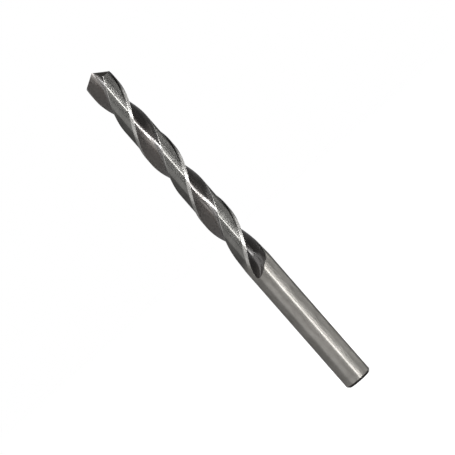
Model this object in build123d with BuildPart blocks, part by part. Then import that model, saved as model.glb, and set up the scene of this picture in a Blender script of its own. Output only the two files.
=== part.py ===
from build123d import *
from math import asin, cos, degrees, pi, radians, sin, sqrt, tan
import os

# Twist drill, right-hand cutting, in millimetres.
# The origin is the centre of the flat shank end, and +Z runs along the axis to the point.
# The two cutting lips lie parallel to X.

# Driving dimensions
cutting_diameter = 9.3      # over the margins
shank_diameter = 9.15
overall_length = 125.0      # shank end to chisel edge
flute_length = 81.0         # chisel edge to the far end of the flute run-out
lead = 52.0                 # length of one turn of the flutes
web_thickness = 1.5         # core left between the two flutes
point_angle = 118.0         # between the two lips
margin_width = 1.25         # guiding strip behind each flute edge, measured round the rim
clearance_depth = 0.45      # how far the body lies below the margins
flute_width = 92.0          # degrees of the rim that one flute opens
throat_radius = 1.0         # hollow between the lip face and the heel wall
heel_setback = 0.1          # how far the heel wall passes the axis
climb_length = 7.2          # over which each flute's floor climbs to the shank
climb_angle = 45.0          # way that a flute leaves the bar, in degrees of its section
climb_throat = 2.35         # hollow of a flute where it leaves the bar
relief_start = 10.5         # from the end of the flutes to the full body clearance
relief_stop = 3.5           # from the end of the flutes to the end of that clearance
lip_relief = 7.0            # slope of the flank straight behind a lip, in degrees
flank_cone_angle = 32.0     # half angle of the cone that each flank is ground to
flank_cone_offset = 8.0     # from that cone's tip to the drill axis, along X
shank_chamfer = 0.75

# Worked out from them
cutting_radius = cutting_diameter / 2
shank_radius = shank_diameter / 2
body_radius = cutting_radius - clearance_depth
half_web = web_thickness / 2
half_point = radians(point_angle / 2)
margin_sweep = degrees(margin_width / cutting_radius)
flute_end = overall_length - flute_length
body_start = flute_end + relief_start
relief_end = flute_end + relief_stop
bar_top = overall_length + 1.0          # the bar before its point is ground
cutter_reach = cutting_radius + 2.0     # cutters stand this far out of the bar
point_depth = cutting_diameter          # the point's wheels reach this far below the lips' crossing
flank_cone_length = 4 * cutting_diameter
runout_steps = 8

# One flank is part of a cone that holds a lip as one of its straight lines. The lip leans down
# by half the point angle, and the flank falls away behind it by the relief angle.
relief = radians(lip_relief)
cone_half = radians(flank_cone_angle)
lip_line = Vector(sin(half_point), 0, -cos(half_point))
flank_normal = Vector(cos(half_point) * cos(relief), -sin(relief), sin(half_point) * cos(relief))
cone_axis = lip_line * cos(cone_half) - flank_normal * sin(cone_half)
cone_tip = Vector(-flank_cone_offset, half_web, flank_cone_offset / tan(half_point))


def chisel_drop():
    """How far the middle of the chisel edge lies below the crossing of the two lips."""
    square = cone_axis.Z**2 - cos(cone_half) ** 2
    linear = 2 * (cone_tip.Z * cos(cone_half) ** 2 - cone_tip.dot(cone_axis) * cone_axis.Z)
    rest = cone_tip.dot(cone_axis) ** 2 - cone_tip.dot(cone_tip) * cos(cone_half) ** 2
    root = sqrt(linear**2 - 4 * square * rest)
    return min(abs((-linear + root) / (2 * square)), abs((-linear - root) / (2 * square)))


lip_height = overall_length + chisel_drop()


def section_plane(height):
    """Plane across the drill at a height, turned as far as the flutes are there."""
    return Plane.XY.offset(height).rotated((0, 0, 360 * (height - lip_height) / lead))


def bar_radius(height):
    """The bar widens from the shank to the margins over the run-out of the flutes."""
    share = min(max((height - flute_end) / relief_start, 0), 1)
    return shank_radius + (cutting_radius - shank_radius) * share


def rim(radius, angle):
    return (radius * cos(radians(angle)), radius * sin(radians(angle)))


def rim_arc(radius, start, end):
    ThreePointArc(rim(radius, start), rim(radius, (start + end) / 2), rim(radius, end))


def lip_face(radius):
    """Angle of the flute face at a radius, which makes the ground lip come out straight."""
    along = sqrt(radius**2 - half_web**2)
    return degrees(asin(half_web / radius) + 2 * pi / lead * along / tan(half_point))


edge_angle = lip_face(cutting_radius)
heel_angle = edge_angle + flute_width
margin_back = edge_angle - margin_sweep
land_start = heel_angle - 180           # heel of the other flute, where this land begins
relief_from = land_start - 30           # the clearance cut runs on over that flute
lip_points = [rim(share * cutting_radius, lip_face(share * cutting_radius)) for share in (1, 0.75, 0.5)]
lip_lean = Vector(*lip_points[1]) - Vector(*lip_points[0])
throat_start = (throat_radius - heel_setback, half_web)

# The wheel leaves along this line until its last hollow only touches the shank.
climb_way = Vector(*rim(1, climb_angle))
last_hollow = Vector(throat_start[0], half_web + climb_throat)
hollow_along = last_hollow.dot(climb_way)
hollow_reach = shank_radius + climb_throat
climb_height = sqrt(hollow_along**2 - last_hollow.dot(last_hollow) + hollow_reach**2) - hollow_along
wheel_radius = (climb_length**2 + climb_height**2) / (2 * climb_height)


def left_bar(height):
    """Share of its climb that a flute has made at a height."""
    return min(max((flute_end + climb_length - height) / climb_length, 0), 1)


def flute_climb(height):
    return wheel_radius - sqrt(wheel_radius**2 - (climb_length * left_bar(height)) ** 2)


def flute_profile(height):
    """What a flute takes away: the lip face, the throat and the heel wall, closed outside the bar."""
    opened = left_bar(height) ** 2 * (3 - 2 * left_bar(height))
    throat = throat_radius + (climb_throat - throat_radius) * opened
    throat_end = (throat_start[0] - throat, half_web + throat)
    with BuildSketch() as opening:
        with BuildLine():
            Spline(*lip_points, throat_start, tangents=[lip_lean, (-1, 0)])
            TangentArc(throat_start, throat_end, tangent=(-1, 0))
            TangentArc(throat_end, rim(body_radius, heel_angle), tangent=(0, 1))
            Line(rim(body_radius, heel_angle), rim(cutter_reach, heel_angle))
            rim_arc(cutter_reach, heel_angle, edge_angle)
            Line(rim(cutter_reach, edge_angle), lip_points[0])
        make_face()
    return opening.sketch


def relief_profile(floor_radius):
    """What the body clearance takes away between a margin and the heel in front of it."""
    with BuildSketch() as sector:
        with BuildLine():
            rim_arc(floor_radius, margin_back, relief_from)
            Line(rim(floor_radius, relief_from), rim(cutter_reach, relief_from))
            rim_arc(cutter_reach, relief_from, margin_back)
            Line(rim(cutter_reach, margin_back), rim(floor_radius, margin_back))
        make_face()
    return sector.sketch


# What a point wheel takes off one flank: all above the cone, over that flank's side.
with BuildPart() as flank_waste:
    with Locations((-half_web, 0, -point_depth)):
        Box(
            cutter_reach + half_web,
            2 * cutter_reach,
            point_depth + bar_top - lip_height,
            align=(Align.MIN, Align.CENTER, Align.MIN),
        )
    with Locations(Plane(cone_tip, z_dir=cone_axis)):
        Cone(
            0,
            flank_cone_length * tan(cone_half),
            flank_cone_length,
            align=(Align.CENTER, Align.CENTER, Align.MIN),
            mode=Mode.SUBTRACT,
        )

# The turned shank, widening to the margins, with the ends of the cuts above it.
with BuildPart() as twist_drill_bit:
    with BuildSketch(Plane.XZ):
        with BuildLine():
            Polyline(
                (0, 0),
                (shank_radius - shank_chamfer, 0),
                (shank_radius, shank_chamfer),
                (shank_radius, flute_end),
                (cutting_radius, body_start),
                (0, body_start),
                close=True,
            )
        make_face()
    revolve(axis=Axis.Z)

    # Each flute climbs out of the bar as its wheel leaves it, and so does the body clearance.
    for turn in (0, 180):
        for step in range(runout_steps + 1):
            height = body_start - relief_start * step / runout_steps
            with BuildSketch(section_plane(height)):
                with Locations(rim(flute_climb(height), climb_angle + turn)):
                    add(flute_profile(height), rotation=turn)
        loft(mode=Mode.SUBTRACT)
        for step in range(runout_steps + 1):
            share = step / runout_steps
            floor_radius = body_radius + (bar_radius(relief_end) - body_radius) * share
            with BuildSketch(section_plane(body_start - (body_start - relief_end) * share)):
                add(relief_profile(floor_radius), rotation=turn)
        loft(mode=Mode.SUBTRACT)

    # The fluted body: one section swept up the axis and turned by a guide helix of the same lead.
    with BuildLine(mode=Mode.PRIVATE) as body_axis:
        Line((0, 0, body_start), (0, 0, bar_top))
    with BuildLine(mode=Mode.PRIVATE) as body_guide:
        Helix(lead, bar_top - body_start, cutting_radius, center=(0, 0, body_start))
    with BuildSketch(section_plane(body_start)):
        Circle(cutting_radius)
        for turn in (0, 180):
            add(flute_profile(body_start), rotation=turn, mode=Mode.SUBTRACT)
            add(relief_profile(body_radius), rotation=turn, mode=Mode.SUBTRACT)
    sweep(path=body_axis.line, binormal=body_guide.edge())

    # The point: one flank ground twice, half a turn apart.
    for turn in (0, 180):
        with Locations(Location((0, 0, lip_height), (0, 0, turn))):
            add(flank_waste.part, mode=Mode.SUBTRACT)

twist_drill_bit.part.label = "twist_drill_bit"
os.makedirs("parts", exist_ok=True)
export_step(twist_drill_bit.part, "parts/twist_drill_bit.step")
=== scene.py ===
import math

import bmesh
import bpy
import numpy as np
from mathutils import Matrix, Vector


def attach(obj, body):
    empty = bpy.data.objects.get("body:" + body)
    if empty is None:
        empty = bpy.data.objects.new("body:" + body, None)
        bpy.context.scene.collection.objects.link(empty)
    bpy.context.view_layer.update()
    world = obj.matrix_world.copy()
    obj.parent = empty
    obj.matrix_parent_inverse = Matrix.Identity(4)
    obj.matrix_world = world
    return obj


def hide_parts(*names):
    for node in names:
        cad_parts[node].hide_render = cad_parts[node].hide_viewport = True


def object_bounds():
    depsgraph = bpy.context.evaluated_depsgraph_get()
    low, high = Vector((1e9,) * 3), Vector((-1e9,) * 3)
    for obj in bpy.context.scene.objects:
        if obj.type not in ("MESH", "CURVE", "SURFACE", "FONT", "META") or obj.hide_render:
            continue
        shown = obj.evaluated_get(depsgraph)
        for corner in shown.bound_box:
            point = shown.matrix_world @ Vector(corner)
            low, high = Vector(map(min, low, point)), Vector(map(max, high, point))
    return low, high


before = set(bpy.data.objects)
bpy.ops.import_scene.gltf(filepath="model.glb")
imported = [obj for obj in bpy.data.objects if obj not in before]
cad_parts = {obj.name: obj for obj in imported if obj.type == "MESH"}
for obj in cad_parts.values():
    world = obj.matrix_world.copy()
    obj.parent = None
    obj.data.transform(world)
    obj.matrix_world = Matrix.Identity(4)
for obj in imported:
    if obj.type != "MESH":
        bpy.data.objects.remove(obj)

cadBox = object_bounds()
perMetre = 1000     # the sizes below are in millimetres and degrees

# The drill's own sizes: +Z runs from the shank end to the point.
drill = dict(
    cuttingRadius=4.65,     # over the margins
    shankRadius=4.575,
    bodyRadius=4.2,         # behind the margins
    overall=125.0,
    fluteEnd=44.0,          # where the run-out ends, from the shank end
    climbLength=7.2,        # over which a flute climbs out of the bar
    climbAngle=45.0,        # the way that it climbs
    climbThroat=2.35,       # its hollow where it leaves the bar
    reliefStart=10.5,       # from the flutes' end to the full clearance behind the margins
    reliefStop=3.5,         # from the flutes' end to the end of that clearance
    lead=52.0,              # one turn of the flutes
    halfWeb=0.75,
    pointAngle=118.0,
    marginWidth=1.25,
    fluteWidth=92.0,        # of the rim
    throatRadius=1.0,
    heelSetback=0.1,        # how far the heel wall passes the axis
    lipRelief=7.0,          # slope of the flank behind a lip
    flankCone=32.0,         # half angle of the cone that each flank is ground to
    flankOffset=8.0,        # from that cone's tip to the axis
    chamfer=0.75,
)

# How far each edge is broken.
edges = dict(
    heel=0.13,
    margin=0.05,
    step=0.10,              # foot of the step from the land up to the margin
    lip=0.025,
    innerCorner=((-0.02, 0.004), (0.02, 0.022)),    # rings out and up from the chamfer's inner corner
    outerCorner=((-0.03, -0.03), (-0.006, 0.02)),   # and from its outer one
)

# How finely the mesh is laid out.
mesh = dict(
    lipSteps=16,
    throatSteps=13,
    heelSteps=15,
    landSteps=26,
    marginSteps=8,
    throatEarly=0.93,       # the fine steps of the throat begin at this share of the way to it
    bodyRow=0.30,
    runoutRow=0.15,
    shankRows=26,
    shankFrom=0.05,         # first row, above the chamfer
    shankTo=0.5,            # last row, below the flutes' end
    endRings=(0.6, 1.4, 2.2, 3.0),      # radii across the flat shank end
    endInset=0.12,          # of its last ring, from the chamfer
    pointDepth=3.0,         # about how far the flutes' rows end below the point
    capRings=14,
    creaseDegrees=32.0,     # faces that meet at more than this keep a sharp edge
    mergeWithin=0.0015,
    flatWithin=0.0001,
)

# How finely curves are traced, and where places are searched for.
search = dict(
    lipPoints=120,
    blendPoints=60,
    throatPoints=80,
    heelPoints=120,
    outside=2.0,            # how far a flute's curve runs on out of the bar
    halvings=50,
    leastDepth=0.004,       # a flute shallower than this has left the bar
    topBelow=6.0,           # the ground point, from the lips' crossing
    topAbove=1.0,
    chiselAngles=(60.0, 175.0),
    chiselTries=2301,
    chiselFirst=0.05,       # smallest radius of the chisel edge that is searched
    chiselRings=24,
)
nowhere = -1e3      # height where a flank has no surface
tiny = 1e-9         # stands in for a length of nothing where a flute has closed

bodyStart = drill["fluteEnd"] + drill["reliefStart"]
reliefEnd = drill["fluteEnd"] + drill["reliefStop"]
turnPerMm = 2 * math.pi / drill["lead"]
halfPoint = math.radians(drill["pointAngle"] / 2)


def onRim(radius, degrees):
    return np.array([radius * math.cos(math.radians(degrees)), radius * math.sin(math.radians(degrees))])


def angleOf(point):
    return math.degrees(math.atan2(point[1], point[0]))


def turned(points, degrees):
    c, s = math.cos(math.radians(degrees)), math.sin(math.radians(degrees))
    return points @ np.array([[c, s], [-s, c]])


def twist(rise):
    # how far the flutes turn over a rise
    return rise * 360 / drill["lead"]


def bothHalves(half):
    return np.vstack([half, -half])


def shareOf(value):
    return min(max(value, 0), 1)


def halving(low, high, staysLow):
    # closes in on where the answer changes between two numbers or two points
    for _ in range(search["halvings"]):
        mid = (low + high) / 2
        if staysLow(mid):
            low = mid
        else:
            high = mid
    return low


# A flank is a cone that holds its lip as one of its straight lines; heights are from the lips' crossing.
relief = math.radians(drill["lipRelief"])
coneHalf = math.radians(drill["flankCone"])
lipLine = np.array([math.sin(halfPoint), 0, -math.cos(halfPoint)])
flankNormal = np.array([
    math.cos(halfPoint) * math.cos(relief),
    -math.sin(relief),
    math.sin(halfPoint) * math.cos(relief),
])
coneAxis = lipLine * math.cos(coneHalf) - flankNormal * math.sin(coneHalf)
coneTip = np.array([-drill["flankOffset"], drill["halfWeb"], drill["flankOffset"] / math.tan(halfPoint)])


def flankHeight(x, y):
    dx, dy = x - coneTip[0], y - coneTip[1]
    cosSquare = math.cos(coneHalf) ** 2
    across = dx * coneAxis[0] + dy * coneAxis[1]
    square = coneAxis[2] ** 2 - cosSquare
    linear = 2 * across * coneAxis[2]
    root = np.sqrt(linear**2 - 4 * square * (across**2 - (dx**2 + dy**2) * cosSquare))
    heights = []
    for sign in (1, -1):
        z = (-linear + sign * root) / (2 * square)
        heights.append(np.where(across + z * coneAxis[2] > 0, z, nowhere))
    return np.maximum(heights[0], heights[1]) + coneTip[2]


def pointHeight(x, y):
    return np.minimum(flankHeight(x, y), flankHeight(-x, -y))


def flankGap(x, y):
    return flankHeight(x, y) - flankHeight(-x, -y)


lipHeight = drill["overall"] - float(pointHeight(np.array(0.0), np.array(0.0)))


def lipFace(radius):
    # the angle at which a straight lip comes out of the twisted face
    along = math.sqrt(radius**2 - drill["halfWeb"] ** 2)
    return math.degrees(math.asin(drill["halfWeb"] / radius) + turnPerMm * along / math.tan(halfPoint))


edgeAngle = lipFace(drill["cuttingRadius"])
heelAngle = edgeAngle + drill["fluteWidth"]
marginBack = edgeAngle - math.degrees(drill["marginWidth"] / drill["cuttingRadius"])
throatStart = np.array([drill["throatRadius"] - drill["heelSetback"], drill["halfWeb"]])


def fluteCurve(throat):
    # from outside the lip's corner, down the face, round the throat, up the heel wall and out again
    points = [onRim(drill["cuttingRadius"] + search["outside"], edgeAngle)]
    for radius in np.linspace(drill["cuttingRadius"], drill["cuttingRadius"] / 2, search["lipPoints"]):
        points.append(onRim(radius, lipFace(radius)))
    start = points[-1]
    chord = np.linalg.norm(throatStart - start)
    lean = (points[-1] - points[-2]) / np.linalg.norm(points[-1] - points[-2])
    for t in np.linspace(0, 1, search["blendPoints"])[1:]:
        points.append(
            (2 * t**3 - 3 * t**2 + 1) * start + (t**3 - 2 * t**2 + t) * lean * chord
            + (3 * t**2 - 2 * t**3) * throatStart + (t**3 - t**2) * np.array([-1, 0]) * chord
        )
    centre = throatStart + np.array([0, throat])
    for t in np.linspace(-90, -180, search["throatPoints"])[1:]:
        points.append(centre + onRim(throat, t))
    throatEnd = points[-1]
    heel = onRim(drill["bodyRadius"], heelAngle)
    away = heel - throatEnd
    wall = (away @ away) / (-2 * away[0])       # radius of the heel wall
    centre = throatEnd - np.array([wall, 0])
    for t in np.linspace(0, angleOf(heel - centre), search["heelPoints"])[1:]:
        points.append(centre + onRim(wall, t))
    points.append(onRim(drill["cuttingRadius"] + search["outside"], heelAngle))
    return np.array(points)


fluteLine = fluteCurve(drill["throatRadius"])

# A wheel of this radius lifts each flute out of the bar, until its last hollow only touches the shank.
lastHollow = throatStart + np.array([0, drill["climbThroat"]])
hollowAlong = float(lastHollow @ onRim(1, drill["climbAngle"]))
hollowReach = drill["shankRadius"] + drill["climbThroat"]
climbHeight = math.sqrt(hollowAlong**2 - float(lastHollow @ lastHollow) + hollowReach**2) - hollowAlong
wheelRadius = (drill["climbLength"] ** 2 + climbHeight**2) / (2 * climbHeight)
closingAngle = angleOf(lastHollow + onRim(climbHeight, drill["climbAngle"]))


def crossing(a, b, radius):
    return a + (b - a) * halving(0.0, 1.0, lambda share: np.linalg.norm(a + (b - a) * share) < radius)


def clippedFlute(left, edgeRadius, heelRadius):
    # the part of the flute's curve that still lies inside the bar, or None once it has left it
    throat = drill["throatRadius"] + (drill["climbThroat"] - drill["throatRadius"]) * left**2 * (3 - 2 * left)
    climb = wheelRadius - math.sqrt(wheelRadius**2 - (drill["climbLength"] * left) ** 2)
    points = (fluteCurve(throat) if left else fluteLine) + onRim(climb, drill["climbAngle"])
    far = np.linalg.norm(points, axis=1)
    lowest = int(np.argmin(far))
    if far[lowest] >= min(edgeRadius, heelRadius) - search["leastDepth"]:
        return None
    first = last = lowest
    while far[first - 1] < edgeRadius:
        first -= 1
    while far[last + 1] < heelRadius:
        last += 1
    start = crossing(points[first], points[first - 1], edgeRadius)
    end = crossing(points[last], points[last + 1], heelRadius)
    return np.vstack([start, points[first:last + 1], end])


def respaced(points, shares):
    step = np.linalg.norm(np.diff(points, axis=0), axis=1)
    along = np.concatenate([[0], np.cumsum(step)]) / step.sum()
    return np.column_stack([np.interp(shares, along, points[:, 0]), np.interp(shares, along, points[:, 1])])


def fluteShares():
    # closer together round the throat, where the curve is tight
    step = np.linalg.norm(np.diff(fluteLine[1:-1], axis=0), axis=1)
    stepsBefore = search["lipPoints"] + search["blendPoints"] - 2
    stepsThrough = stepsBefore + search["throatPoints"] - 1
    throatFrom = step[:stepsBefore].sum() / step.sum() * mesh["throatEarly"]
    throatTo = step[:stepsThrough].sum() / step.sum()
    return np.concatenate([
        np.linspace(0, throatFrom, mesh["lipSteps"] + 1),
        np.linspace(throatFrom, throatTo, mesh["throatSteps"] + 1)[1:],
        np.linspace(throatTo, 1, mesh["heelSteps"] + 1)[1:],
    ])


shares = fluteShares()
fluteSteps = len(shares) - 1


def brokenCorner(before, corner, after, size):
    towardBefore, towardAfter = before - corner, after - corner
    lengthBefore, lengthAfter = np.linalg.norm(towardBefore), np.linalg.norm(towardAfter)
    start = corner + towardBefore / max(lengthBefore, tiny) * min(size, lengthBefore / 2)
    end = corner + towardAfter / max(lengthAfter, tiny) * min(size, lengthAfter / 2)
    return [start, (start + end) / 4 + corner / 2, end]


# Each kind of face has its own steel, in this order, and the strips of the flutes come after them.
plainSteels = ("land", "margin", "shank", "flank", "end")
landZone, marginZone, shankZone, flankZone, endZone = range(len(plainSteels))
firstFluteZone = len(plainSteels)

fluteLean = 0.78        # how far the flutes' shading leans from its own direction toward straight out
grooveStep = 0.010      # turns by which the grooves of two strips of a flute differ


def grooveStrips():
    # a flute is ground along its helix, so each strip of it has its own turn from rings round the axis
    flute = respaced(clippedFlute(0, drill["cuttingRadius"], drill["bodyRadius"]), shares)
    strips, turns = [], []
    for a, b in zip(flute, flute[1:]):
        x, y = (a + b) / 2
        across = np.array([*(b - a), 0.0])
        along = np.array([-turnPerMm * y, turnPerMm * x, 1.0])
        normal = np.cross(across, along)
        if normal[:2] @ np.array([across[1], -across[0]]) < 0:
            normal = -normal
        normal /= np.linalg.norm(normal)
        ring = np.array([-y, x, 0.0])
        ring -= normal * (normal @ ring)
        normal = normal * (1 - fluteLean) + np.array([x, y, 0.0]) / math.hypot(x, y) * fluteLean
        normal /= np.linalg.norm(normal)
        ring -= normal * (normal @ ring)
        over = np.cross(normal, along)
        # grooves look the same after half a turn
        turn = math.atan2(np.cross(ring, over) @ normal, ring @ over) / (2 * math.pi) % 0.5
        if not turns or abs(turn - turns[-1]) > grooveStep:
            turns.append(turn)
        strips.append(firstFluteZone + len(turns) - 1)
    return strips, turns


fluteStrips, grooveTurns = grooveStrips()


def barRadius(height):
    share = shareOf((bodyStart - height) / drill["reliefStart"])
    return drill["cuttingRadius"] + (drill["shankRadius"] - drill["cuttingRadius"]) * share


def halfSection(height):
    # one flute, then the land behind it, its step and its margin; returns points and each span's zone
    left = shareOf((drill["fluteEnd"] + drill["climbLength"] - height) / drill["climbLength"])
    bar = barRadius(height)
    away = shareOf((bodyStart - height) / (bodyStart - reliefEnd))
    floor = drill["bodyRadius"] + (barRadius(reliefEnd) - drill["bodyRadius"]) * away
    if height < reliefEnd:
        floor = bar
    curve = clippedFlute(left, bar, floor)
    if curve is None:
        flute = np.repeat([onRim(bar, closingAngle)], fluteSteps + 1, axis=0)
        heelBreak, lipBreak = 0, 0
    else:
        flute = respaced(curve, shares)
        heelBreak, lipBreak = edges["heel"], edges["lip"]
    landTo = marginBack + 180
    land = [onRim(floor, t) for t in np.linspace(angleOf(flute[-1]), landTo, mesh["landSteps"] + 1)]
    margin = [onRim(bar, t) for t in np.linspace(landTo, angleOf(flute[0]) + 180, mesh["marginSteps"] + 1)]
    step = bar - floor
    heel = brokenCorner(flute[-2], flute[-1], land[1], heelBreak)
    foot = brokenCorner(land[-2], land[-1], margin[0], min(edges["step"], step / 2))
    brow = brokenCorner(land[-1], margin[0], margin[1], min(edges["margin"], step / 2))
    lip = brokenCorner(margin[-2], margin[-1], -flute[1], lipBreak)
    points = [-lip[2], *flute[1:-1]]
    zones = list(fluteStrips)
    for group, zone in (
        (heel[:2], marginZone),
        (heel[2:] + land[1:-1] + foot[:2], landZone),
        (foot[2:] + brow + margin[1:-1] + lip[:2], marginZone),
    ):
        points += group
        zones += [zone] * len(group)
    return np.array(points), zones


def chiselAngle(radius):
    # where the two flanks cross at this radius, on lip 1's flute
    angles = np.linspace(*search["chiselAngles"], search["chiselTries"])
    gap = flankGap(radius * np.cos(np.radians(angles)), radius * np.sin(np.radians(angles)))
    i = int(np.nonzero(np.diff(np.sign(gap)))[0][0])
    return angles[i] + (angles[i + 1] - angles[i]) * gap[i] / (gap[i] - gap[i + 1])


def topOf(point):
    # where a column of the section meets the ground point, with its height from the lips' crossing
    rise = halving(
        -search["topBelow"], search["topAbove"],
        lambda height: float(pointHeight(*turned(point, twist(height)))) > height,
    )
    return np.array([*turned(point, twist(rise)), rise])


def onFirstFlank(point):
    # whether a column of the section ends on the first flank or past the chisel edge on the other
    return float(flankGap(*topOf(point)[:2])) < 0


def pointColumns():
    # the full section and its zones, with one column of each flute moved to where the chisel edge ends on it
    half, zones = halfSection(bodyStart)
    flanks = [onFirstFlank(point) for point in half[:fluteSteps]]
    last = next(i for i in range(2, fluteSteps) if flanks[i] != flanks[i + 1])
    a, b = half[last], half[last + 1]
    chiselEnd = halving(a, b, lambda point: onFirstFlank(point) == flanks[last])
    nearest = last if np.linalg.norm(a - chiselEnd) < np.linalg.norm(b - chiselEnd) else last + 1
    half[nearest] = chiselEnd
    return bothHalves(half), zones * 2, nearest


def shankRows():
    # rings of the end face and its chamfer, then the plain shank
    circle = turned(bothHalves(halfSection(drill["fluteEnd"])[0]), twist(drill["fluteEnd"] - lipHeight))
    circle = circle / np.linalg.norm(circle, axis=1)[:, None]
    radius, chamfer = drill["shankRadius"], drill["chamfer"]
    inner = radius - chamfer
    outline = [(flat, 0.0) for flat in (*mesh["endRings"], inner - mesh["endInset"])]
    outline += [(inner + out, up) for out, up in edges["innerCorner"]]
    outline.append((radius - chamfer / 2, chamfer / 2))
    outline += [(radius + out, chamfer + up) for out, up in edges["outerCorner"]]
    zones = [endZone] * len(outline)
    first, last = chamfer + mesh["shankFrom"], drill["fluteEnd"] - mesh["shankTo"]
    for height in np.linspace(first, last, mesh["shankRows"]):
        outline.append((radius, height))
        zones.append(shankZone)
    return [np.column_stack([circle * out, np.full(len(circle), up)]) for out, up in outline], zones


def fluteRows(flat, tops):
    # the run-out in level rows, and above it each column on its own helix to the point
    rows = []
    count = int(round(drill["reliefStart"] / mesh["runoutRow"]))
    for height in np.linspace(drill["fluteEnd"], bodyStart, count + 1):
        points = turned(bothHalves(halfSection(height)[0]), twist(height - lipHeight))
        rows.append(np.column_stack([points, np.full(len(points), height)]))
    count = int(round((drill["overall"] - mesh["pointDepth"] - bodyStart) / mesh["bodyRow"]))
    for k in range(1, count):
        heights = bodyStart + (tops[:, 2] - bodyStart) * (k / count)
        points = [turned(point, twist(height - lipHeight)) for point, height in zip(flat, heights)]
        rows.append(np.column_stack([points, heights]))
    return [*rows, tops]


def capRows(tops, nearest):
    # the ground point: rings that close on the middle of the chisel edge
    chiselEnd = tops[nearest]
    radii = np.linspace(search["chiselFirst"], float(np.linalg.norm(chiselEnd[:2])), search["chiselRings"])
    drifts = [chiselAngle(radius) - angleOf(chiselEnd) for radius in radii]
    rows = []
    for k in range(1, mesh["capRings"]):
        row = []
        for top in tops:
            flat = top[:2] * (1 - k / mesh["capRings"])
            x, y = turned(flat, float(np.interp(np.linalg.norm(flat), radii, drifts)))
            row.append([x, y, float(pointHeight(x, y)) + lipHeight])
        rows.append(np.array(row))
    return rows


def buildDrill():
    flat, sectionZones, nearest = pointColumns()
    columns = len(flat)
    tops = np.array([topOf(point) for point in flat]) + np.array([0, 0, lipHeight])
    rows, rowZones = shankRows()
    rowZones = [[zone] * columns for zone in rowZones]
    for row in fluteRows(flat, tops):
        # the shank's finish runs up to the end of the clearance
        rowZones.append([
            shankZone if z < reliefEnd and zone in (landZone, marginZone) else zone
            for zone, z in zip(sectionZones, row[:, 2])
        ])
        rows.append(row)
    rowZones[-1] = [flankZone] * columns
    for row in capRows(tops, nearest):
        rows.append(row)
        rowZones.append([flankZone] * columns)

    nextOf = [(i + 1) % columns for i in range(columns)]
    faces = [(0, 1 + j, 1 + i) for i, j in enumerate(nextOf)]
    faceZones = [endZone] * columns
    for r, zones in enumerate(rowZones[:-1]):
        low = 1 + r * columns
        high = low + columns
        faces += [(low + i, low + j, high + j, high + i) for i, j in enumerate(nextOf)]
        faceZones += zones
    last = 1 + (len(rows) - 1) * columns
    faces += [(last + i, last + j, last + columns) for i, j in enumerate(nextOf)]
    faceZones += [flankZone] * columns

    points = np.vstack([[[0, 0, 0]], *rows, [[0, 0, drill["overall"]]]])
    inside = np.clip(points / perMetre, np.array(cadBox[0]), np.array(cadBox[1]))
    built = bpy.data.meshes.new("drill")
    built.from_pydata(inside.tolist(), [], faces)
    built.polygons.foreach_set("material_index", faceZones)
    built.update()
    return built


drillMesh = buildDrill()
cleaned = bmesh.new()
cleaned.from_mesh(drillMesh)
bmesh.ops.remove_doubles(cleaned, verts=cleaned.verts, dist=mesh["mergeWithin"] / perMetre)
bmesh.ops.dissolve_degenerate(cleaned, edges=cleaned.edges, dist=mesh["flatWithin"] / perMetre)
bmesh.ops.recalc_face_normals(cleaned, faces=cleaned.faces)
cleaned.to_mesh(drillMesh)
cleaned.free()
drillMesh.shade_smooth()
drillMesh.set_sharp_from_angle(angle=math.radians(mesh["creaseDegrees"]))
twistDrill = bpy.data.objects.new("twist_drill", drillMesh)
bpy.context.scene.collection.objects.link(twistDrill)
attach(twistDrill, "root")
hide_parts("twist_drill_bit")
triangles = sum(len(face.vertices) - 2 for face in drillMesh.polygons)
print("drill mesh:", len(drillMesh.vertices), "points,", triangles, "triangles")


# One socket of a node tree, so that plain expressions add the nodes.
class Wire:
    def __init__(self, nodes, socket):
        self.nodes = nodes
        self.socket = socket

    def math(self, operation, *others):
        return self.nodes.node("ShaderNodeMath", dict(operation=operation), [self, *others])

    def __add__(self, other):
        return self.math("ADD", other)

    def __radd__(self, other):
        return self.math("ADD", other)

    def __sub__(self, other):
        return self.math("SUBTRACT", other)

    def __rsub__(self, other):
        return self.nodes.node("ShaderNodeMath", dict(operation="SUBTRACT"), [other, self])

    def __mul__(self, other):
        return self.math("MULTIPLY", other)

    def __rmul__(self, other):
        return self.math("MULTIPLY", other)


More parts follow.
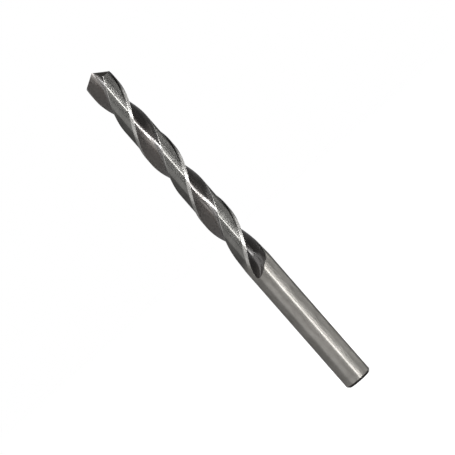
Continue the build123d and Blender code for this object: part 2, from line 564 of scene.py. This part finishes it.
# The nodes of a material or of the world.
class Nodes:
    def __init__(self, tree):
        self.tree = tree

    def node(self, kind, settings=None, inputs=(), output=0):
        made = self.tree.nodes.new(kind)
        for key, value in (settings or {}).items():
            setattr(made, key, value)
        pairs = inputs.items() if isinstance(inputs, dict) else enumerate(inputs)
        for key, value in pairs:
            self.connect(self.find(made.inputs, key), value)
        return Wire(self, self.find(made.outputs, output))

    def find(self, sockets, key):
        if isinstance(key, int):
            return sockets[key]
        return next(s for s in sockets if key in (s.identifier, s.name) and s.enabled)

    def connect(self, socket, value):
        if isinstance(value, Wire):
            self.tree.links.new(value.socket, socket)
        elif isinstance(value, (tuple, list)) and len(value) == 3 and socket.type == "RGBA":
            socket.default_value = (*value, 1)
        else:
            socket.default_value = value

    def vector(self, x, y, z):
        return self.node("ShaderNodeCombineXYZ", {}, [x, y, z])

    def normalised(self, vector):
        return self.node("ShaderNodeVectorMath", dict(operation="NORMALIZE"), [vector])

    def fade(self, value, low, high):
        # 0 below low, 1 above high and a soft step between them
        return self.node(
            "ShaderNodeMapRange", dict(interpolation_type="SMOOTHSTEP"),
            {"Value": value, "From Min": low, "From Max": high},
        )

    def blend(self, factor, a, b):
        return self.node(
            "ShaderNodeMix", dict(data_type="RGBA"),
            {"Factor_Float": factor, "A_Color": a, "B_Color": b}, "Result_Color",
        )

    def shown(self):
        # 1 for what the camera, the steel and clear things see, 0 for soft light
        camera, glossy, clear = (
            self.node("ShaderNodeLightPath", output=ray)
            for ray in ("Is Camera Ray", "Is Glossy Ray", "Is Transmission Ray")
        )
        return camera.math("MAXIMUM", glossy).math("MAXIMUM", clear)


class Finish(Nodes):
    def __init__(self, name):
        self.material = bpy.data.materials.new(name)
        self.material.use_nodes = True
        super().__init__(self.material.node_tree)
        self.shader = self.tree.nodes["Principled BSDF"]

    def paint(self, **inputs):
        for key, value in inputs.items():
            self.connect(self.shader.inputs[key], value)

    def place(self):
        # object coordinates in millimetres
        coords = self.node("ShaderNodeTexCoord", output="Object")
        scaled = self.node(
            "ShaderNodeVectorMath", dict(operation="SCALE"), {"Vector": coords, "Scale": perMetre},
        )
        return [self.node("ShaderNodeSeparateXYZ", {}, [scaled], k) for k in range(3)]

    def untwisted(self, x, y, z):
        # turns the section back, so that a mark drawn straight up follows the flutes
        angle = (z - lipHeight) * turnPerMm
        c, s = angle.math("COSINE"), angle.math("SINE")
        return x * c + y * s, y * c - x * s

    def marks(self, steel, kind, *place):
        # noise with so many marks to a millimetre along each axis
        scaled = self.vector(*(axis * perMm for axis, perMm in zip(place, steel[kind])))
        return self.node(
            "ShaderNodeTexNoise", {}, {"Vector": scaled, "Scale": 1.0, "Detail": steel["detail"]},
        )

    def grooves(self, steel, height, **sockets):
        # a faint bump over the steel, or over another direction of its surface
        strength, depth = steel["grooves"]
        return self.node(
            "ShaderNodeBump", {},
            {"Strength": strength, "Distance": depth / perMetre, "Height": height, **sockets},
        )

    def leaning(self, x, y, share):
        # the surface's own direction, leaning toward straight out from the axis
        lean = self.node(
            "ShaderNodeMix", dict(data_type="VECTOR"),
            {
                "Factor_Float": share,
                "A_Vector": self.node("ShaderNodeNewGeometry", output="Normal"),
                "B_Vector": self.normalised(self.vector(x, y, 0.0)),
            },
            "Result_Vector",
        )
        return self.normalised(lean)


# Each ground face. Colours are how much light it gives back, clean and stained; on the flutes the stained
# colour also stands for painted shade, and on the end both are painted shade. Metal is how much of it is
# bare steel and not a dull film; stretch draws its shine out across the grooves. Marks are so many to a
# millimetre: fine ones are the grooves, and broad ones the blotches of the stain.
steels = dict(
    flute=dict(
        clean=(0.128, 0.115, 0.106), stainedAndShaded=(0.018, 0.015, 0.013), rough=0.21, stretch=1.0, metal=0.2,
        fine=(9.0, 9.0, 0.12), broad=(0.8, 0.8, 0.15), detail=3, stainAndShade=(0.42, 0.95), grooves=(0.15, 0.015),
    ),
    land=dict(
        clean=(0.078, 0.077, 0.073), stainedAndShaded=(0.058, 0.057, 0.054), rough=0.33, stretch=0.95, metal=1.0,
        fine=(0.5, 0.5, 7.0), broad=(0.3, 0.3, 0.25), blotchy=0.6,
        detail=3, stainAndShade=(0.35, 0.65), grooves=(0.08, 0.01),
    ),
    margin=dict(
        clean=(0.190, 0.187, 0.180), stainedAndShaded=(0.130, 0.127, 0.121), rough=0.38, stretch=0.7, metal=1.0,
        fine=(1.5, 1.5, 6.0), detail=3, stainAndShade=(0.4, 0.75), grooves=(0.4, 0.01),
    ),
    shank=dict(
        clean=(0.176, 0.169, 0.158), stainedAndShaded=(0.137, 0.132, 0.122), rough=0.44, stretch=0.95, metal=1.0,
        fine=(0.35, 0.35, 9.0), broad=(0.35, 0.35, 0.22), blotchy=0.7,
        detail=4, stainAndShade=(0.38, 0.64), grooves=(0.4, 0.012),
    ),
    flank=dict(
        clean=(0.24, 0.23, 0.21), stainedAndShaded=(0.15, 0.14, 0.13), rough=0.34, stretch=0.5, metal=1.0,
        fine=(2.0, 12.0, 2.0), detail=3, stainAndShade=(0.35, 0.7), grooves=(0.4, 0.012),
    ),
    # painted shade: the end and its chamfer are coloured near-black for the shade they lie in
    end=dict(
        clean=(0.030, 0.028, 0.026), stainedAndShaded=(0.016, 0.015, 0.014), rough=0.36, stretch=0.6, metal=1.0,
        # out from the axis, nothing and up
        fine=(10.0, 0.0, 4.0), detail=3, stainAndShade=(0.35, 0.7), grooves=(0.5, 0.015),
    ),
)
ringTurn = 0.25         # lays the grooves of turned and ground faces round the axis
edgeTint = 0.45         # how much light steel still gives back where it is seen almost edge on
roughSpread = 0.04      # how much the grooves vary the roughness
landGreys = (reliefEnd - 0.5, reliefEnd + 4.0)      # heights between which the shank's grey fades out

# Where a flute is stained and shaded more or less: heights or distances that each part fades between, and its
# share. The run-out and the walls near the rim are darkened as painted shade, the lip side is painted lighter
# than the heel side, and everywhere is the stain's own level.
fluteStainAndShade = dict(
    everywhere=0.30,
    runoutShade=(51.0, 56.0), runoutShadeShare=1.2,
    rim=(3.5, 4.2), rimShadeShare=0.35,
    lipSide=(-0.6, 1.6), lipLightShare=0.75,
    dull=(49.6, 51.6), dullShare=0.36,      # the run-out is rougher
)


def plainGrain(f, steel, *place):
    fine = blotches = f.marks(steel, "fine", *place)
    if "broad" in steel:
        blotches = f.marks(steel, "broad", *place) * steel["blotchy"] + fine * (1 - steel["blotchy"])
    return f.fade(blotches, *steel["stainAndShade"]), fine, f.grooves(steel, fine)


def fluteGrain(f, steel, x, y, z):
    u, v = f.untwisted(x, y, z)
    fine = f.marks(steel, "fine", u, v, z)
    # painted shade: darker in the run-out and near the rim, lighter on the lip side, over the stain's
    # blotches
    runoutShade = 1 - f.fade(z, *fluteStainAndShade["runoutShade"])
    rim = f.fade((x * x + y * y).math("SQRT"), *fluteStainAndShade["rim"])
    lipSide = f.fade(u * v.math("SIGN"), *fluteStainAndShade["lipSide"])
    more = runoutShade * fluteStainAndShade["runoutShadeShare"] + rim * fluteStainAndShade["rimShadeShare"] + fluteStainAndShade["everywhere"]
    less = lipSide * fluteStainAndShade["lipLightShare"]
    stainAndShade = f.fade(f.marks(steel, "broad", u, v, z) + more - less, *steel["stainAndShade"])
    return stainAndShade, fine, f.grooves(steel, fine, Normal=f.leaning(x, y, fluteLean))


def steelFinish(name, grooveTurn):
    steel = steels[name]
    f = Finish(name + "Steel")
    x, y, z = f.place()
    if name == "flute":
        stainAndShade, fine, bump = fluteGrain(f, steel, x, y, z)
    elif name == "end":
        stainAndShade, fine, bump = plainGrain(f, steel, (x * x + y * y).math("SQRT"), 0.0, z)
    else:
        stainAndShade, fine, bump = plainGrain(f, steel, x, y, z)
    # the stain's blotches, and on the flutes painted shade, darken the colour toward the stained one
    colour = f.blend(stainAndShade, steel["clean"], steel["stainedAndShaded"])
    rough = steel["rough"] + (fine - 0.5) * roughSpread
    if name in ("land", "margin"):
        colour = f.blend(f.fade(z, *landGreys), steels["shank"]["stainedAndShaded"], colour)
    if name == "flute":
        rough = rough + (1 - f.fade(z, *fluteStainAndShade["dull"])) * fluteStainAndShade["dullShare"]
    f.paint(**{
        "Base Color": colour,
        "Metallic": steel["metal"],
        "Specular IOR Level": 1.0,
        "Roughness": rough,
        "Anisotropic": steel["stretch"],
        "Anisotropic Rotation": grooveTurn,
        "Specular Tint": (edgeTint, edgeTint, edgeTint),
        "Normal": bump,
    })
    return f.material


for name in plainSteels:
    drillMesh.materials.append(steelFinish(name, ringTurn))
for grooveTurn in grooveTurns:
    drillMesh.materials.append(steelFinish("flute", grooveTurn))
print("steels:", ", ".join(steel.name for steel in drillMesh.materials))

# The camera looks at the axis at this height, from this far away.
camera = dict(
    distance=580.0, lens=149.36, sensor=36.0, azimuth=-111.8, elevation=1.0, roll=41.17,
    height=61.97, aside=0.22, near=10.0, far=20000.0,
)
# Lamps: degrees to the camera's right, degrees above level, size, and the light that each gives the drill.
lamps = dict(
    key=dict(right=18.7, up=8.0, size=(75.0, 75.0), light=2.9),
    near=dict(right=33.0, up=0.0, size=(250.0, 80.0), light=1.45),
    wide=dict(right=52.0, up=0.0, size=(375.0, 80.0), light=0.88),
    side=dict(right=95.0, up=0.0, size=(940.0, 100.0), light=1.0),
    front=dict(right=0.0, up=9.0, size=(650.0, 80.0), light=0.9),
    soft=dict(right=-46.0, up=20.0, size=(700.0, 1000.0), light=2.1),
    fill=dict(right=-20.0, up=40.0, size=(600.0, 600.0), light=2.2),
)
lampDistance = 900.0
dullLamps = ("fill",)       # these light dull surfaces only; the others make the shine
target = Vector((0, 0, camera["height"])) / perMetre


def standRound(name, data, right, up, distance, aside=0.0, roll=0.0):
    # stands something round the drill and turns it to the target
    azimuth, above = math.radians(camera["azimuth"] + right), math.radians(up)
    back = Vector((math.cos(azimuth) * math.cos(above), math.sin(azimuth) * math.cos(above), math.sin(above)))
    side = Vector((0, 0, 1)).cross(back).normalized()
    upward = back.cross(side)
    c, s = math.cos(math.radians(roll)), math.sin(math.radians(roll))
    facing = Matrix((side * c - upward * s, upward * c + side * s, back)).transposed()
    place = target + side * aside / perMetre + back * distance / perMetre
    stood = bpy.data.objects.new(name, data)
    stood.matrix_world = Matrix.Translation(place) @ facing.to_4x4()
    bpy.context.scene.collection.objects.link(stood)
    return stood


cameraData = bpy.data.cameras.new("camera")
cameraData.lens, cameraData.sensor_width = camera["lens"], camera["sensor"]
cameraData.clip_start, cameraData.clip_end = camera["near"] / perMetre, camera["far"] / perMetre
bpy.context.scene.camera = standRound(
    "camera", cameraData, 0.0, camera["elevation"], camera["distance"], camera["aside"], camera["roll"],
)

for name, lamp in lamps.items():
    data = bpy.data.lights.new(name, "AREA")
    data.shape = "RECTANGLE"
    data.size, data.size_y = (side / perMetre for side in lamp["size"])
    data.energy = lamp["light"] * math.pi * (lampDistance / perMetre) ** 2
    stood = standRound(name, data, lamp["right"], lamp["up"], lampDistance)
    stood.visible_diffuse = name in dullLamps
    stood.visible_glossy = name not in dullLamps
print("lamps:", ", ".join(lamps))

# A pale floor and a white room: the camera and the steel see them white, their soft light is weaker.
studio = dict(
    roomSoft=0.45,          # the room's soft light
    wallTop=0.15,           # from here up to ceilingFrom the room darkens to the ceiling
    ceilingFrom=0.6,
    ceiling=0.1,
    floorRadius=3000.0,
    floorSides=96,
    floorBelow=0.02,
    floorColour=(0.88, 0.88, 0.88),
    floorRough=0.9,
    floorGlow=0.90,         # what the camera sees of the floor besides its lit colour
)
white = (1, 1, 1)

world = bpy.data.worlds.new("room")
bpy.context.scene.world = world
world.use_nodes = True
room = Nodes(world.node_tree)
aim = room.node("ShaderNodeTexCoord", output="Generated")
upward = room.node("ShaderNodeSeparateXYZ", {}, [aim], 2)
ceiling = 1 - room.fade(upward, studio["wallTop"], studio["ceilingFrom"]) * (1 - studio["ceiling"])
roomLight = (room.shown() * (1 - studio["roomSoft"]) + studio["roomSoft"]) * ceiling
background = room.tree.nodes["Background"]
room.connect(background.inputs["Strength"], roomLight)
room.connect(background.inputs["Color"], white)

floorMesh = bpy.data.meshes.new("floor")
sides = np.linspace(0, 360, studio["floorSides"], endpoint=False)
rim = [(*onRim(studio["floorRadius"], side) / perMetre, -studio["floorBelow"] / perMetre) for side in sides]
floorMesh.from_pydata(rim, [], [tuple(range(len(rim)))])
floor = bpy.data.objects.new("floor", floorMesh)
bpy.context.scene.collection.objects.link(floor)
paper = Finish("paper")
paper.paint(**{
    "Base Color": studio["floorColour"], "Roughness": studio["floorRough"], "Specular IOR Level": 0.0,
})
glow = paper.node("ShaderNodeEmission", {}, {"Color": white, "Strength": paper.shown() * studio["floorGlow"]})
lit = paper.node("ShaderNodeAddShader", {}, [Wire(paper, paper.shader.outputs[0]), glow])
paper.connect(paper.tree.nodes["Material Output"].inputs["Surface"], lit)
floorMesh.materials.append(paper.material)
bpy.context.scene.view_settings.view_transform = "Standard"
